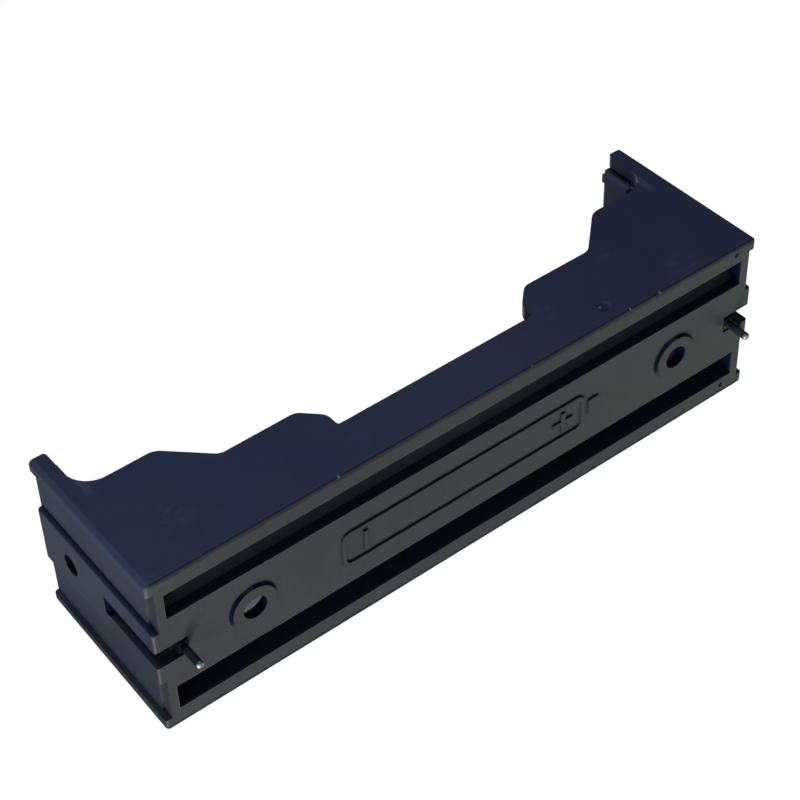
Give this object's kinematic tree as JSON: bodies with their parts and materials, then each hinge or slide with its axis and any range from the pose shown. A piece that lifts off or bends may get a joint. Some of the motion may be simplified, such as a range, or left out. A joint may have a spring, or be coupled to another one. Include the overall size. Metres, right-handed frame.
{
  "type": "cylindrical cell holder",
  "caption": "Open black moulded holder for one cylindrical cell, with stepped side walls, sheet contacts and solder pins, screwed to a board.",
  "frame": {"origin": "midway between the two screw holes, on the face of the board that the two low rings stand on", "axes": "+X along the cell towards the positive contact, +Z away from the board, out of the open side; Y across"},
  "size_m": [0.077, 0.021, 0.024],
  "materials": {
    "moulding": "fine matte black moulding",
    "plated_sheet": "nickel plated, tinned at the pin"
  },
  "bodies": {
    "root": {"housing": "moulding", "contact_negative": "plated_sheet", "contact_positive": "plated_sheet"}
  },
  "joints": []
}
